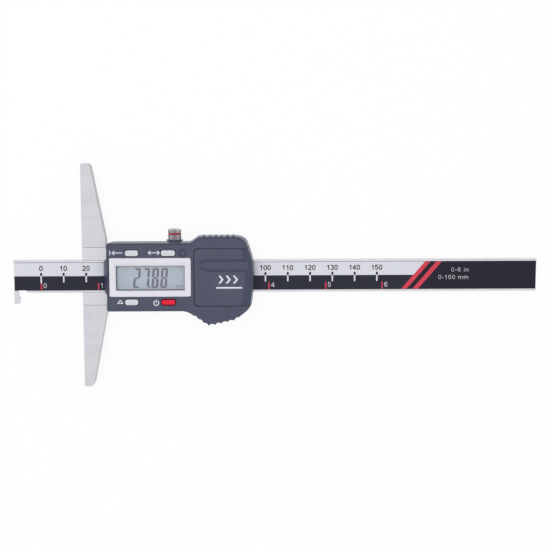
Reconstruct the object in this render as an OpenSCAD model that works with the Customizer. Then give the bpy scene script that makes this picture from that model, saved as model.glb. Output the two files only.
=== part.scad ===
// Digital depth caliper with a hook on its beam, lying on its back.
// Origin: the base's measuring face is X = 0, the beam's centreline Y = 0, the back Z = 0.
// +X runs along the beam away from the hook, +Z is the display side.

/* [Beam] */
// Length of the beam from the hook's outer face to the far end
beam_len = 233.9; // [225:0.1:320]
// Width of the beam across its two ridges
beam_w = 14.4; // [13:0.1:15]
// Thickness of the beam
beam_t = 3.5; // [3:0.1:4]
// Distance from the measuring face to the hook's outer face
depth_out = 30.5; // [8:0.1:60]
// Width of each ridge beside the scale
ridge_w = 0.9; // [0.6:0.05:1.2]
// Depth of the scale's recess below the ridges
recess_d = 0.7; // [0.6:0.05:1]
// Thickness of the capacitive scale strip in the recess
board_t = 0.4; // [0.3:0.05:0.45]
// Thickness of the printed label on the strip
label_t = 0.1; // [0.05:0.01:0.15]
// Gap between the label's long edges and the ridges
label_gap = 0.15; // [0.1:0.05:0.3]

/* [Hook] */
// Reach of the hook below the beam
hook_reach = 5; // [4:0.1:8]
// Thickness of the hook's foot along the beam
hook_t = 2.15; // [1.8:0.05:3]
// Thickness of the hook's neck
neck_t = 1.65; // [1.2:0.05:1.7]
// Height of the foot's flat measuring face
foot_h = 2.5; // [2:0.1:3.2]
// Length of the relief cut in the lower ridge, hook face to full ridge
relief_l = 6.2; // [4:0.1:10]

/* [Base] */
// Length of the measuring base
base_len = 100; // [80:1:150]
// Thickness of the base
base_t = 6.8; // [6.4:0.1:7.5]
// Width of the base at its middle
base_w = 10.5; // [9:0.1:13]
// Width of the base at its ends
base_end_w = 4; // [3:0.1:6]
// Length of the middle stretch of full width
base_mid = 32.6; // [30:0.1:40]
// Corner radius at the base's ends
base_r = 1.7; // [0.8:0.1:2.2]
// Thickness of the web behind the slider's nose
web_t = 1.8; // [1.4:0.1:2.2]
// Gap round the slider's nose in the base
nose_gap = 0.08; // [0.04:0.01:0.15]

/* [Slider] */
// Width of the steel slider frame
frame_w = 25.8; // [25:0.1:26]
// Distance that the housing overhangs the frame's right end
frame_in = 2.6; // [2.2:0.1:3]
// Height of the frame's seat for the electronics above the base's front face
seat_rise = 0.3; // [0.2:0.05:0.4]
// Running gap between the beam and its slot
slot_gap = 0.05; // [0.03:0.01:0.08]
// Thickness of the gib strip
gib_t = 1; // [0.8:0.05:1.2]
// Distance from the frame's right end to the gib strip
gib_in = 4.4; // [4:0.1:8]
// Distance from the housing's left face to the gib adjusting screw
gib_screw_x = 6.6; // [5.4:0.1:9]
// Thread radius of the gib screw
gib_screw_r = 1; // [0.8:0.05:1.1]
// Radius of the gib screw's head
gib_head_r = 1.25; // [1.15:0.05:1.35]
// Thread radius of the lock screw
screw_r = 1.5; // [1.3:0.05:1.6]

// Thread radius of the screws from base to frame
base_screw_r = 1.25; // [1:0.05:1.4]
// Head radius of the screws from base to frame
base_head_r = 2.2; // [1.8:0.05:2.3]
// Thread radius of the housing screws
small_r = 0.8; // [0.6:0.05:0.9]

/* [Lock screw] */
// Distance from the battery cover to the lock screw
lock_in = 8.8; // [8:0.1:12]
// Radius of the knurled knob
knob_r = 2.9; // [2.6:0.05:3.2]
// Height of the knob
knob_h = 5.3; // [4.5:0.1:7]
// Number of knurl teeth round the knob
knurl_n = 36; // [24:1:48]
// Depth of the knurl
knurl_d = 0.16; // [0.1:0.01:0.25]
// Width of the red ring round the knob
ring_w = 0.7; // [0.5:0.05:1]
// Length of the plastic collar below the knob, along the beam
collar_l = 7.3; // [6.6:0.1:8]
// Rise of the collar above the housing's side
collar_h = 0.45; // [0.4:0.05:0.9]

/* [Housing] */
// Gap between the base and the housing
housing_gap = 0.8; // [0.5:0.05:1.2]
// Length of the housing
housing_l = 64.7; // [64:0.1:67]
// Distance from the frame's upper edge to the housing's upper side
wall_top = 2.5; // [2.4:0.05:4]
// Distance from the frame's lower edge to the housing's lower side
wall_low = 2.15; // [1.9:0.05:3]
// Rise of the upper grip above the upper side
grip_up = 2.7; // [2:0.05:3.2]
// Reach of the thumb grip below the lower side
grip_down = 6.45; // [5.6:0.05:7.5]
// Height of the housing's front face above the back
front_z = 13; // [12.8:0.1:14]
// Height of the housing's lower edge above the back
skirt_z = 3.2; // [3:0.1:3.5]
// Height of the housing's parting line above the back
part_z = 8; // [6.5:0.1:9]
// Outward draft of the long sides, from the front down to the parting line
draft = 0.1; // [0.1:0.05:0.4]
// Outward draft of the rounded right end, from the front down to the parting line
end_draft = 0.4; // [0.4:0.05:1.2]
// Inward taper of the walls below the parting line
tuck = 0.6; // [0.3:0.05:0.8]
// Distance from the frame's lower edge to the line where the front starts to slope
shoulder_in = 0.5; // [0.4:0.1:1]
// Slope of the front beyond that line in degrees
shoulder_a = 5; // [3:0.5:7]
// Radius of the front edge
edge_r = 0.8; // [0.4:0.05:1]
// Thickness of the front wall
wall_t = 1.4; // [1.2:0.05:1.5]
// Pitch of the grip ribs
rib_pitch = 2.65; // [2.3:0.05:3]
// Radius of the grooves between the ribs
rib_r = 1.15; // [1:0.05:1.3]
// Depth of the grooves of the upper grip
rib_d = 0.45; // [0.35:0.05:0.7]
// Depth of the grooves of the thumb grip
rib_d_low = 0.75; // [0.5:0.05:0.9]

/* [Display] */
// Distance from the housing's left face to the window
window_x = 1.1; // [1:0.05:1.4]
// Distance from the window to the battery cover
window_in = 1.4; // [1.3:0.05:3]
// Distance from the frame's edges to the window's long edges
window_side = 4.225; // [4.2:0.025:5]
// Distance of the window's centre above the beam's centreline
window_y = 0.25; // [0:0.05:0.4]
// Sink of the window below the front face
window_sink = 0.05; // [0.02:0.01:0.15]
// Width of the white mask left and right of the visible panel
mask_end = 2.925; // [2.5:0.025:4]
// Width of the white mask above and below the visible panel
mask_side = 3.275; // [2.6:0.025:4]
// Thickness of the white mask
mask_t = 1; // [0.8:0.05:1.2]
// Thickness of the panel
lcd_t = 1.4; // [1.1:0.05:1.6]
// Thickness of the circuit board
pcb_t = 0.8; // [0.6:0.05:1]

/* [Buttons] */
// Length of a left button
button_l1 = 5.8; // [5.5:0.1:6.6]
// Length of a right button
button_l2 = 6.2; // [5.5:0.1:6.6]
// Width of a button
button_w = 2.5; // [2.3:0.05:2.6]
// Corner radius of a button
button_r = 1; // [0.6:0.05:1.1]
// Height of a button above the front face
button_rise = 0.5; // [0.3:0.05:0.8]
// Gap round a button
button_gap = 0.28; // [0.15:0.01:0.28]
// Travel of a button
button_travel = 0.4; // [0.3:0.05:0.5]
// Distance from the housing's left face to the left pair of buttons
button_x1 = 11.15; // [10:0.05:12]
// Distance from the battery cover to the right pair of buttons
button_x2 = 11.4; // [11.2:0.1:14]
// Distance of the upper buttons inside the frame's upper edge
button_in_top = 1.9; // [1.5:0.05:1.9]
// Distance of the lower buttons inside the frame's lower edge
button_in_low = 2.05; // [1.7:0.05:2.15]
// Distance from the battery cover to the round plug
plug_x = 5; // [4:0.1:5.6]
// Distance of the plug inside the frame's upper edge
plug_in = 1.8; // [1.7:0.05:2.1]
// Radius of the plug
plug_r = 1.4; // [1.2:0.05:1.5]

/* [Battery] */
// Radius of the coin cell
cell_r = 10; // [8:0.1:10]
// Thickness of the coin cell
cell_t = 3.2; // [2:0.1:3.2]
// Thickness of the contact strips
contact_t = 0.3; // [0.2:0.05:0.35]
// Length of the battery cover
cover_l = 26.1; // [26:0.1:27]
// Distance of the cover's long edges inside the frame's edges
cover_in = 0.05; // [0:0.05:0.4]
// Distance of the cover's centre above the beam's centreline
cover_y = 0.15; // [0:0.05:0.3]
// Thickness of the cover
cover_t = 1.25; // [1.1:0.05:1.3]
// Gap round the cover
cover_gap = 0.2; // [0.08:0.01:0.2]
// Width of the tongues that hold the cover in its grooves
tongue_w = 0.8; // [0.6:0.05:1]
// Radius of the arc where the cover's right end bends down
bend_r = 43; // [30:0.5:60]
// Length of the bent end along the beam
bend_l = 3.6; // [2.5:0.1:5]
// Slope of the bent end in degrees
bend_a = 13; // [8:0.5:15]
// Distance from the cover's left edge to the thumb recess
thumb_x = 1.6; // [1.4:0.1:4]
// Width of the thumb recess at the front face
thumb_w = 5.8; // [4:0.1:7]
// Distance of the thumb recess above the beam's centreline
thumb_y = 5.4; // [5:0.1:6.5]
// Depth of the thumb recess
thumb_d = 0.4; // [0.2:0.05:0.6]

/* [Hidden] */
$fn = 64;

STEEL = "#d4d3d8";
DARK_PLASTIC = "#54596b";
BUTTON_WHITE = "#e4e4e8";
BRASS = "#b8974a";
eps = 0.01;
fit = 0.05;
corner_steps = 8;

beam_x0 = -depth_out;
beam_x1 = beam_x0 + beam_len;
beam_z = base_t - beam_t;
slot_z = beam_z - slot_gap;
recess_z = base_t - recess_d;

housing_x = base_w + housing_gap;
housing_x1 = housing_x + housing_l;
frame_len = housing_x1 - frame_in;
cover_x = housing_l - cover_l;
side_top = frame_w / 2 + wall_top;
side_low = frame_w / 2 + wall_low;
grip_top = side_top + grip_up;
grip_low = side_low + grip_down;
grip_x = cover_x - 1.1;
lock_x = cover_x - lock_in;
window_l = cover_x - window_x - window_in;
window_h = frame_w - 2 * window_side;
view_l = window_l - 2 * mask_end;
view_h = window_h - 2 * mask_side;
button_y_top = frame_w / 2 - button_in_top;
button_y_low = frame_w / 2 - button_in_low;
plug_y = frame_w / 2 - plug_in;
cover_w = frame_w - 2 * cover_in;
seat_z = base_t + seat_rise;
board_top = seat_z + pcb_t;
ceiling_z = front_z - wall_t;
mask_z = ceiling_z - mask_t;
lcd_z = mask_z - lcd_t;
cover_z = front_z - cover_t;

gib_x = housing_x + 0.7;
gib_y = beam_w / 2 + slot_gap;
gib_room = gib_y + gib_t + slot_gap;
gib_len = frame_len - gib_in - gib_x;
screw_z = beam_z + beam_t / 2;

cell_x = housing_x + cover_x + 1.7 + cell_r;
room_x0 = housing_x + cover_x + 1;
room_w = cover_w - 2.2;
boss_r = 1.6;
room_y = frame_w / 2 - 0.5;
boss_y = frame_w / 2 - 1.9;
boss_x = [housing_x + 3.3, frame_len - 3.5];

// Outline points are [x, y, corner radius], anticlockwise
function unit(v) = v / norm(v);
function xy(p) = [p.x, p.y];
function arc_corner(a, b, c, r, n) =
    let (u = unit(a - b),
         v = unit(c - b),
         half = acos(u * v) / 2,
         centre = b + unit(u + v) * r / sin(half),
         start = b + u * r / tan(half) - centre,
         turn = (180 - 2 * half) * sign(cross(b - a, c - b)))
    [for (i = [0:n]) centre + [start.x * cos(turn * i / n) - start.y * sin(turn * i / n),
                               start.x * sin(turn * i / n) + start.y * cos(turn * i / n)]];
function rounded(p, n = corner_steps) =
    [for (i = [0:len(p) - 1])
        each arc_corner(xy(p[(i + len(p) - 1) % len(p)]), xy(p[i]), xy(p[(i + 1) % len(p)]), p[i][2], n)];
function inset(p, d) =
    [for (i = [0:len(p) - 1])
        let (a = xy(p[(i + len(p) - 1) % len(p)]),
             b = xy(p[i]),
             c = xy(p[(i + 1) % len(p)]),
             u = unit(a - b),
             v = unit(c - b),
             side = sign(cross(b - a, c - b)),
             q = b + unit(u + v) * side * d / sin(acos(u * v) / 2))
        [q.x, q.y, max(p[i][2] - side * d, 0.1)]];
function box_outline(x, y, w, h, r) =
    [[x, y, r], [x + w, y, r], [x + w, y + h, r], [x, y + h, r]];

// A closed skin through outlines of equal length, one at each height; its two ends are fans
// about hub, a place from which the whole outline can be seen
module loft(rings, heights, hub) {
    n = len(rings[0]);
    m = len(rings);
    low = m * n;
    high = low + 1;
    polyhedron(
        points = concat(
            [for (k = [0:m - 1]) for (p = rings[k]) [p.x, p.y, heights[k]]],
            [[hub.x, hub.y, heights[0]], [hub.x, hub.y, heights[m - 1]]]
        ),
        faces = concat(
            [for (i = [0:n - 1]) [low, i, (i + 1) % n]],
            [for (k = [0:m - 2]) for (i = [0:n - 1])
                each [[k * n + i, (k + 1) * n + i, (k + 1) * n + (i + 1) % n],
                      [k * n + i, (k + 1) * n + (i + 1) % n, k * n + (i + 1) % n]]],
            [for (i = [0:n - 1]) [high, (m - 1) * n + (i + 1) % n, (m - 1) * n + i]]
        )
    );
}

module plate(outline, z, h) {
    translate([0, 0, z])
        linear_extrude(h)
            polygon(rounded(outline));
}

module box(x0, x1, y0, y1, z0, z1) {
    translate([x0, y0, z0])
        cube([x1 - x0, y1 - y0, z1 - z0]);
}

module countersunk(r, head_r, head_h, length, sink = 0.1) {
    translate([0, 0, sink])
        cylinder(h = head_h, r1 = head_r, r2 = r);
    translate([0, 0, sink])
        cylinder(h = length, r = r);
}

module countersunk_hole(r, head_r, head_h, length) {
    translate([0, 0, -1])
        cylinder(h = 1.1, r = head_r);
    countersunk(r, head_r, head_h, length);
}

// Base
base_outline = [
    [0, -base_len / 2, 0.4],
    [base_end_w, -base_len / 2, base_r],
    [base_w, -base_mid / 2, 2],
    [base_w, base_mid / 2, 2],
    [base_end_w, base_len / 2, base_r],
    [0, base_len / 2, 0.4]
];
base_screw_y = (beam_w / 2 + slot_gap + frame_w / 2) / 2;
base_head_h = base_head_r - base_screw_r + 0.05;

module base_screw_places() {
    for (y = [-base_screw_y, base_screw_y])
        translate([base_w / 2, y, 0])
            children();
}

module base() {
    color(STEEL)
    difference() {
        plate(base_outline, 0, base_t);
        box(-1, base_w + 1, -frame_w / 2 - nose_gap, frame_w / 2 + nose_gap, web_t, base_t + 1);
        base_screw_places()
            countersunk_hole(base_screw_r + fit, base_head_r + fit, base_head_h, web_t + 1);
    }
}

module base_screws() {
    color("silver")
    base_screw_places()
        difference() {
            countersunk(base_screw_r, base_head_r, base_head_h, web_t + base_t - beam_t - 0.3);
            box(-0.3, 0.3, -base_head_r - 0.1, base_head_r + 0.1, 0, base_head_h / 2);
        }
}

// Slider frame: the steel channel that the beam runs in
module slider_frame() {
    color(STEEL)
    difference() {
        union() {
            box(0, housing_x, -frame_w / 2, frame_w / 2, web_t + fit / 2, base_t);
            box(base_w + nose_gap, frame_len, -frame_w / 2, frame_w / 2, 0, base_t);
            box(housing_x, frame_len, -frame_w / 2, frame_w / 2, base_t - 1, seat_z);
        }
        box(-1, frame_len + 1, -gib_y, gib_y, slot_z, seat_z + 1);
        box(gib_x - 0.1, frame_len + 1, 0, gib_room, slot_z, seat_z + 1);
        for (hole = [[gib_screw_x, gib_screw_r], [lock_x, screw_r]])
            translate([housing_x + hole[0], frame_w / 2 + 1, screw_z])
                rotate([90, 0, 0])
                    cylinder(h = frame_w / 2, r = hole[1] + fit);
        for (x = boss_x, y = [-boss_y, boss_y])
            translate([x, y, -1]) {
                cylinder(h = seat_z + 2, r = small_r + 0.1);
                cylinder(h = 2.5, r = 1.55);
            }
        base_screw_places()
            translate([0, 0, web_t - 1])
                cylinder(h = base_t - web_t - 0.6, r = base_screw_r + fit);
    }
}

module gib_strip() {
    color(BRASS)
    box(gib_x, gib_x + gib_len, gib_y, gib_y + gib_t, beam_z + 0.1, base_t - 0.1);
}

module gib_screw() {
    tip_y = gib_y + gib_t + 0.1;
    head_y = side_top - 0.5;
    color("silver")
    translate([housing_x + gib_screw_x, tip_y, screw_z])
        rotate([-90, 0, 0])
            difference() {
                union() {
                    cylinder(h = head_y - tip_y, r = gib_screw_r);
                    translate([0, 0, frame_w / 2 + 0.4 - tip_y])
                        cylinder(h = head_y - frame_w / 2 - 0.4, r = gib_head_r);
                }
                box(-gib_head_r - 0.1, gib_head_r + 0.1, -0.2, 0.2, head_y - tip_y - 0.6, head_y - tip_y + 1);
            }
}

// Lock screw: a knurled thumb screw that presses on the gib
knob_gap = 0.1;
knob_y = side_top + collar_h + knob_gap;
ring_y = knob_h * 0.5;
ring_r = knob_r - 0.4;
core_r = knob_r - knurl_d - 0.03;
foot_bevel = 0.3;
lock_hole_r = screw_r + 0.65;
top_bevel = 0.45;

module knurl(z, h) {
    translate([0, 0, z])
        linear_extrude(h)
            polygon([for (i = [0:2 * knurl_n - 1])
                let (r = knob_r - knurl_d * (i % 2))
                [r * cos(i * 180 / knurl_n), r * sin(i * 180 / knurl_n)]]);
}

module lock_screw() {
    tip_y = gib_y + gib_t + 0.2;
    color("#b9b7bd")
    translate([housing_x + lock_x, knob_y, screw_z])
        rotate([-90, 0, 0]) {
            cylinder(h = foot_bevel, r1 = core_r - foot_bevel, r2 = core_r);
            knurl(foot_bevel, ring_y - foot_bevel);
            translate([0, 0, foot_bevel])
                cylinder(h = knob_h - foot_bevel - top_bevel, r = ring_r);
            knurl(ring_y + ring_w, knob_h - top_bevel - ring_y - ring_w);
            translate([0, 0, knob_h - top_bevel])
                cylinder(h = top_bevel, r1 = core_r, r2 = core_r - top_bevel);
            translate([0, 0, tip_y - knob_y])
                cylinder(h = knob_y - tip_y + 0.1, r = screw_r);
            translate([0, 0, -1])
                cylinder(h = 1.1, r = lock_hole_r - 0.15);
        }
}

module lock_screw_ring() {
    color("#a01c30")
    translate([housing_x + lock_x, knob_y, screw_z])
        rotate([-90, 0, 0])
            translate([0, 0, ring_y])
                difference() {
                    cylinder(h = ring_w, r = knob_r - 0.05);
                    translate([0, 0, -1])
                        cylinder(h = ring_w + 2, r = ring_r);
                }
}

// Beam: a ground steel bar with the scale's recess and a hook at its left end
edge_y = beam_w / 2 - ridge_w;
hook_y = -beam_w / 2 - hook_reach;
beam_outline = [
    [beam_x0, hook_y],
    [beam_x0 + hook_t, hook_y],
    [beam_x0 + hook_t, hook_y + foot_h],
    [beam_x0 + neck_t, hook_y + foot_h + hook_t - neck_t],
    [beam_x0 + neck_t, -edge_y],
    [beam_x0 + relief_l - ridge_w, -edge_y],
    [beam_x0 + relief_l, -beam_w / 2],
    [beam_x1, -beam_w / 2],
    [beam_x1, beam_w / 2],
    [beam_x0, beam_w / 2]
];
stop_x = beam_x1 - 5;
stop_t = 1;
stop_screw_y = 3;
stop_screw_r = 0.8;
stop_head_r = 1.5;
stop_head_h = 0.7;

module stop_screw_places() {
    for (y = [-stop_screw_y, stop_screw_y])
        translate([stop_x + 2, y, beam_z - stop_t])
            children();
}

module beam() {
    color(STEEL)
    difference() {
        translate([0, 0, beam_z])
            linear_extrude(beam_t)
                polygon(beam_outline);
        box(beam_x0 - 1, beam_x1 + 1, -edge_y, edge_y, recess_z, base_t + 1);
        stop_screw_places()
            cylinder(h = stop_t + 2, r = stop_screw_r + fit);
    }
}

module scale_board() {
    color("#2c3a30")
    box(beam_x0 + 0.1, beam_x1 - 0.1, -edge_y + label_gap / 2, edge_y - label_gap / 2,
        recess_z, recess_z + board_t);
}

module scale_label() {
    color("#8a8a92")
    box(beam_x0 + 0.1, beam_x1 - 0.1, -edge_y + label_gap, edge_y - label_gap,
        recess_z + board_t, recess_z + board_t + label_t);
}

module end_stop() {
    color("silver")
    difference() {
        plate(box_outline(stop_x, -5.2, 4, 10.4, 0.6), beam_z - stop_t, stop_t);
        stop_screw_places()
            countersunk_hole(stop_screw_r + fit, stop_head_r + fit, stop_head_h, stop_t + 1);
    }
}

module end_stop_screws() {
    color("silver")
    stop_screw_places()
        difference() {
            countersunk(stop_screw_r, stop_head_r, stop_head_h, stop_t + 1.4);
            box(-0.2, 0.2, -stop_head_r - 0.1, stop_head_r + 0.1, 0, 0.4);
        }
}

// Housing skin: the outline is widest at the parting line, and the front edge is rounded
function housing_outline(d, e, cut) = [
    [housing_x, -side_low - d, 0.6],
    [housing_x + grip_x - 2, -side_low - d, 8],
    [housing_x + grip_x + 7.1, -grip_low - 0.6 - d, 4],
    [housing_x1 - 7.7 + e / 2, -grip_low + 2.2 - d, 9],
    [housing_x1 - 1.4 + e, -grip_low + 7.7 - d, 7],
    [housing_x1 + 0.1 + e, -1.6, 30],
    [housing_x1 - 0.6 + e, grip_top - 9.6, 18],
    [housing_x1 - 4 + e, grip_top + d, 5],
    [housing_x + grip_x + 3.2, grip_top + d, 2.6],
    [housing_x + grip_x - 0.4, side_top + d, 4],
    [housing_x + cut, side_top + d, 0.6 + cut / 2],
    [housing_x, side_top + d - cut, 0.6 + cut / 2]
];
function wall_outline(t) = housing_outline(draft * (1 - t), end_draft * (1 - t), 2.2 - 1.6 * t);
front_outline = wall_outline(1);
roll = [0, 30, 60];
// the loft starts below the skirt and ends above the front, and is cut level at both
over = 1.25;
wall_z = front_z - edge_r;
below = 0.1;

module housing_skin() {
    difference() {
        intersection() {
            loft(
                concat([rounded(inset(wall_outline(0), tuck * (1 + below))), rounded(wall_outline(0))],
                       [for (a = roll) rounded(inset(front_outline, edge_r * (1 - cos(a))))],
                       [rounded(inset(front_outline, edge_r * (1 - cos(60) + over * cos(60))))]),
                concat([skirt_z - below * (part_z - skirt_z), part_z],
                       [for (a = roll) wall_z + edge_r * sin(a)],
                       [wall_z + edge_r * (sin(60) + over * (1 - sin(60)))]),
                [housing_x + grip_x + 11, 0]
            );
            box(housing_x - 3, housing_x1 + 5, -grip_low - 5, grip_top + 5, skirt_z, front_z);
        }
        // the front slopes down towards the thumb grip
        translate([0, -frame_w / 2 - shoulder_in, front_z])
            rotate([shoulder_a, 0, 0])
                box(housing_x - 3, housing_x1 + 5, -grip_low, 0, 0, 5);
    }
}

// Index lip: a wedge that slopes down to the scale
lip_x0 = housing_x - 1.7;
lip_x1 = housing_x + 0.6;
lip_w = beam_w - 2 * ridge_w;
module index_lip() {
    intersection() {
        translate([0, 0, seat_z])
            linear_extrude(front_z)
                polygon([[lip_x0, -lip_w / 2 + 0.3], [lip_x1, -lip_w / 2 - 2.1],
                         [lip_x1, lip_w / 2 + 2.7], [lip_x0, lip_w / 2 + 0.3]]);
        translate([0, lip_w, 0])
            rotate([90, 0, 0])
                linear_extrude(2 * lip_w)
                    polygon([[lip_x0, seat_z], [lip_x1, seat_z], [lip_x1, front_z - 0.9],
                             [housing_x, front_z - 0.9], [lip_x0, seat_z + 1.1]]);
    }
}

module lock_collar() {
    translate([housing_x + lock_x, side_top - 1, screw_z])
        rotate([-90, 0, 0])
            cylinder(h = 1 + collar_h, r = collar_l / 2);
}

// Grip grooves: upright cylinders along the upper grip and along the lower contour
top_ribs_x = housing_x + grip_x + 4.6;
top_ribs_n = floor((housing_l - grip_x - 9.4) / rib_pitch);
low_path = [
    [housing_x + grip_x + 1.5, -side_low - 2.7],
    [housing_x + grip_x + 6.4, -grip_low + 0.25],
    [housing_x + grip_x + 9.2, -grip_low + 0.1],
    [housing_x1 - 8, -grip_low + 2.3],
    [housing_x1 - 5.9, -grip_low + 4.2]
];
function path_length(p, i = 0) =
    i >= len(p) - 1 ? 0 : norm(p[i + 1] - p[i]) + path_length(p, i + 1);
function path_point(p, s, i = 0) =
    let (step = norm(p[i + 1] - p[i]))
    s <= step || i == len(p) - 2 ? p[i] + (p[i + 1] - p[i]) * s / step : path_point(p, s - step, i + 1);
function path_side(p, s, i = 0) =
    let (step = norm(p[i + 1] - p[i]), u = unit(p[i + 1] - p[i]))
    s <= step || i == len(p) - 2 ? [u.y, -u.x] : path_side(p, s - step, i + 1);
low_pitch = rib_pitch * 1.07;
low_ribs_n = floor(path_length(low_path) / low_pitch);

module grip_grooves() {
    for (i = [0:top_ribs_n])
        translate([top_ribs_x + i * rib_pitch, grip_top + draft + rib_r - rib_d, skirt_z - 1])
            cylinder(h = front_z - skirt_z, r = rib_r);
    for (i = [0:low_ribs_n])
        let (s = i * low_pitch, q = path_point(low_path, s) + path_side(low_path, s) * (rib_r - rib_d_low))
        translate([q.x, q.y, skirt_z - 1])
            cylinder(h = front_z, r = rib_r);
}

// Buttons and their places: [x, y, length, cap colour]
BUTTONS = [
    [button_x1, button_y_top, button_l1, BUTTON_WHITE],
    [cover_x - button_x2, button_y_top, button_l2, BUTTON_WHITE],
    [button_x1 - 0.2, -button_y_low, button_l1, BUTTON_WHITE],
    [cover_x - button_x2, -button_y_low, button_l2, "#d8283f"]
];
flange_t = 0.6;
flange_w = 0.38;

module button_plate(b, grow, z, h) {
    plate(box_outline(housing_x + b.x - b.z / 2 - grow, b.y - button_w / 2 - grow,
                      b.z + 2 * grow, button_w + 2 * grow, button_r + grow / 2), z, h);
}

module button(b) {
    color(b[3])
    union() {
        button_plate(b, 0, ceiling_z - fit - flange_t, wall_t + fit + flange_t + button_rise - 0.2);
        button_plate(b, -0.2, front_z + button_rise - 0.25, 0.25);
        button_plate(b, flange_w, ceiling_z - fit - flange_t, flange_t);
        translate([housing_x + b.x, b.y, switch_top + button_travel + fit])
            cylinder(h = ceiling_z - fit - switch_top - button_travel - fit, r = 0.9);
    }
}

switch_top = board_top + 1.6;

module origin_button() {
    button(BUTTONS[0]);
}

module mode_button() {
    button(BUTTONS[1]);
}

module inc_button() {
    button(BUTTONS[2]);
}

module power_button() {
    button(BUTTONS[3]);
}

module key_switches() {
    color("#c8c8cc")
    for (b = BUTTONS)
        translate([housing_x + b.x, b.y, 0])
            union() {
                box(-2.2, 2.2, -1.1, 1.1, board_top, board_top + 1.2);
                translate([0, 0, board_top + 1])
                    cylinder(h = 0.6, r = 0.8);
            }
}

// Battery cover: cut from the same skin as the housing
cover_y0 = cover_y - cover_w / 2;
cover_y1 = cover_y + cover_w / 2;
cover_x0 = housing_x + cover_x;
lip_x = frame_len + 0.3;
sill_z = board_top + 0.6;

module cover_space(gap) {
    // the cover's own plan, with rounded left corners, through the front wall
    plate([[cover_x0 - gap, cover_y0 - gap, 1.8], [housing_x1 + 4, cover_y0 - gap, 0.1],
           [housing_x1 + 4, cover_y1 + gap, 0.1], [cover_x0 - gap, cover_y1 + gap, 1.8]],
          cover_z - gap, cover_t + gap + 1);
    // the end wall below it
    box(lip_x - gap, housing_x1 + 4, cover_y0 - gap, cover_y1 + gap, sill_z - gap, cover_z + 0.1);
}

module cover_tongues(gap) {
    box(cover_x0 + 2.5 - gap, housing_x1 + 4, cover_y0 - tongue_w - gap, cover_y1 + tongue_w + gap,
        cover_z - gap, cover_z + cover_t / 2 - 0.1 + gap);
}

// A shallow recess for the thumb, open to the right, with a sloping left end
module thumb_recess() {
    x = cover_x0 + thumb_x;
    y0 = thumb_y - thumb_w / 2;
    y1 = thumb_y + thumb_w / 2;
    end_x = housing_x1 + 4;
    function level(t) = [
        [x + 2.2 * t, y0 + 1.8 + 0.3 * t],
        [x + 4.6 + 0.6 * t, y0 + 1.2 * t],
        [end_x, y0 + 1.2 * t],
        [end_x, y1 - 1.2 * t],
        [x + 2.6 + 0.9 * t, y1 - 1.2 * t],
        [x + 2.2 * t, y1 - 1.3 - 0.3 * t]
    ];
    loft([level(1), level(-1)], [front_z - thumb_d, front_z + thumb_d], [x + 10, thumb_y]);
}

module battery_cover() {
    color(DARK_PLASTIC)
    difference() {
        intersection() {
            housing_skin();
            union() {
                cover_space(0);
                cover_tongues(0);
            }
        }
        // the right end bends down beyond an arc
        difference() {
            box(cover_x0 + 6, housing_x1 + 4, cover_y0 - 2, cover_y1 + 2, cover_z + 0.2, front_z + 1);
            translate([housing_x1 - bend_l - bend_r, cover_y, front_z - 8])
                cylinder(h = 8, r1 = bend_r + 8 / tan(bend_a), r2 = bend_r, $fn = 128);
        }
        thumb_recess();
    }
}

// Housing
module window_hole(grow, z, h) {
    plate(box_outline(housing_x + window_x - grow, window_y - window_h / 2 - grow,
                      window_l + 2 * grow, window_h + 2 * grow, 0.6), z, h);
}

module small_screw_places() {
    for (x = boss_x, y = [-boss_y, boss_y])
        translate([x, y, 0])
            children();
}

module housing_rooms() {
    // the frame and the beam below it
    box(housing_x - 4, frame_len + fit, -frame_w / 2 - fit, frame_w / 2 + fit, 0, seat_z);
    box(frame_len - 1, housing_x1 + 4, -beam_w / 2 - 0.3, beam_w / 2 + 0.3, 0, base_t + 0.3);
    // the electronics behind the display
    box(housing_x + 0.65, cover_x0 - 0.8, -room_y, room_y, seat_z - eps, ceiling_z);
    for (b = BUTTONS)
        button_plate(b, flange_w + 0.17, ceiling_z - 2, 2);
    // the circuit board's tail and the battery room
    box(cover_x0 - 1, frame_len - 0.4, -room_y, room_y, seat_z - eps, board_top + 0.1);
    box(room_x0, lip_x + 0.1, cover_y - room_w / 2, cover_y + room_w / 2, board_top, cover_z + eps);
    // coring under the thumb grip
    plate(inset([[housing_x + grip_x + 2, -frame_w / 2 - 1, 0.5], [housing_x + grip_x + 7, -grip_low, 1],
                 [housing_x1 - 7, -grip_low + 3.4, 1], [housing_x1 - 3, -frame_w / 2 - 1, 0.5]], 1.7),
          0, ceiling_z - 1);
}

module housing_openings() {
    window_hole(0.15, ceiling_z - 1, wall_t + 2);
    for (b = BUTTONS)
        button_plate(b, button_gap, ceiling_z - 1, wall_t + 2);
    translate([cover_x0 - plug_x, plug_y, ceiling_z - 1])
        cylinder(h = wall_t + 2, r = plug_r + 0.2);
    translate([housing_x + lock_x, 0, screw_z])
        rotate([-90, 0, 0])
            cylinder(h = side_top + 3, r = lock_hole_r);
    translate([housing_x + gib_screw_x, 0, screw_z])
        rotate([-90, 0, 0])
            cylinder(h = side_top + 3, r = gib_head_r + 0.12);
}

module housing() {
    color(DARK_PLASTIC)
    difference() {
        union() {
            difference() {
                union() {
                    housing_skin();
                    lock_collar();
                }
                housing_rooms();
                cover_space(cover_gap);
                cover_tongues(cover_gap);
                grip_grooves();
            }
            index_lip();
            small_screw_places()
                translate([0, 0, seat_z])
                    cylinder(h = cover_z - 0.3 - seat_z, r = boss_r);
        }
        housing_openings();
        small_screw_places()
            translate([0, 0, seat_z - 1])
                cylinder(h = 4, r = small_r + fit);
    }
}

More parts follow.
